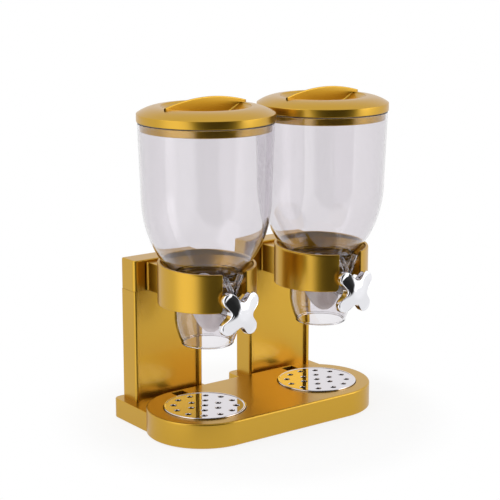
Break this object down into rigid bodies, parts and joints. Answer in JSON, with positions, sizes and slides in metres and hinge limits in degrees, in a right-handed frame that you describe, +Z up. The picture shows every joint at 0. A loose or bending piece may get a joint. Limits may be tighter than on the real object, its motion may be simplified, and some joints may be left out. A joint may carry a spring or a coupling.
{
  "type": "gravity bulk food bin",
  "caption": "Double gravity dispenser for dry food: clear hoppers with gold lids stand in gold collars on columns, and front knobs turn paddle wheels above open spouts over pierced plates.",
  "frame": {"origin": "on the table, under the middle of the box round the whole object, midway between the two hopper axes", "axes": "+X to the right of a user who faces the knobs, +Y from the knobs to the columns, +Z up"},
  "size_m": [0.3324, 0.1986, 0.403],
  "materials": {
    "gold": "gold metallic coating on a plastic moulding, glossy",
    "clear": "clear plastic",
    "polished_steel": "polished to a mirror",
    "chrome_plastic": "bright chrome plating on a plastic moulding",
    "steel": "bright zinc",
    "silicone": "soft translucent white",
    "white_plastic": "smooth",
    "dark_plastic": "fine grain",
    "rubber": "matt",
    "seal": "matt"
  },
  "bodies": {
    "stand": {"base_shell": "gold", "base_bottom_plate": "dark_plastic", "base_feet": "rubber", "base_screws": "steel", "column_left": "gold", "column_right": "gold", "column_back_left": "gold", "column_back_right": "gold", "column_screws": "steel", "back_cover_screws": "steel", "collar_left": "gold", "collar_right": "gold", "collar_screws": "steel"},
    "drip_plate_left": {"drip_plate_left": "polished_steel"},
    "hopper_left": {"canister_left": "clear", "chute_left": "clear", "shaft_bush_left": "white_plastic"},
    "lid_left": {"lid_left": "gold", "lid_plug_left": "gold", "lid_seal_left": "seal"},
    "wheel_left": {"knob_left": "chrome_plastic", "shaft_left": "steel", "wheel_hub_left": "white_plastic", "drive_pin_left": "steel", "paddles_left": "silicone"},
    "drip_plate_right": {"drip_plate_right": "polished_steel"},
    "hopper_right": {"canister_right": "clear", "chute_right": "clear", "shaft_bush_right": "white_plastic"},
    "lid_right": {"lid_right": "gold", "lid_plug_right": "gold", "lid_seal_right": "seal"},
    "wheel_right": {"knob_right": "chrome_plastic", "shaft_right": "steel", "wheel_hub_right": "white_plastic", "drive_pin_right": "steel", "paddles_right": "silicone"}
  },
  "joints": [
    {"name": "drip_plate_lift_left", "type": "slide", "parent": "stand", "child": "drip_plate_left", "axis": [0, 0, 1], "range_m": [0, 0.05]},
    {"name": "hopper_lift_left", "type": "slide", "parent": "stand", "child": "hopper_left", "axis": [0, 0, 1], "range_m": [0, 0.12]},
    {"name": "lid_lift_left", "type": "slide", "parent": "hopper_left", "child": "lid_left", "axis": [0, 0, 1], "range_m": [0, 0.04]},
    {"name": "knob_turn_left", "type": "hinge", "parent": "hopper_left", "child": "wheel_left", "pos_m": [-0.0862, -0.01925, 0.1605], "axis": [0, -1, 0], "continuous": true},
    {"name": "drip_plate_lift_right", "type": "slide", "parent": "stand", "child": "drip_plate_right", "axis": [0, 0, 1], "range_m": [0, 0.05]},
    {"name": "hopper_lift_right", "type": "slide", "parent": "stand", "child": "hopper_right", "axis": [0, 0, 1], "range_m": [0, 0.12]},
    {"name": "lid_lift_right", "type": "slide", "parent": "hopper_right", "child": "lid_right", "axis": [0, 0, 1], "range_m": [0, 0.04]},
    {"name": "knob_turn_right", "type": "hinge", "parent": "hopper_right", "child": "wheel_right", "pos_m": [0.0862, -0.01925, 0.1605], "axis": [0, -1, 0], "continuous": true}
  ]
}
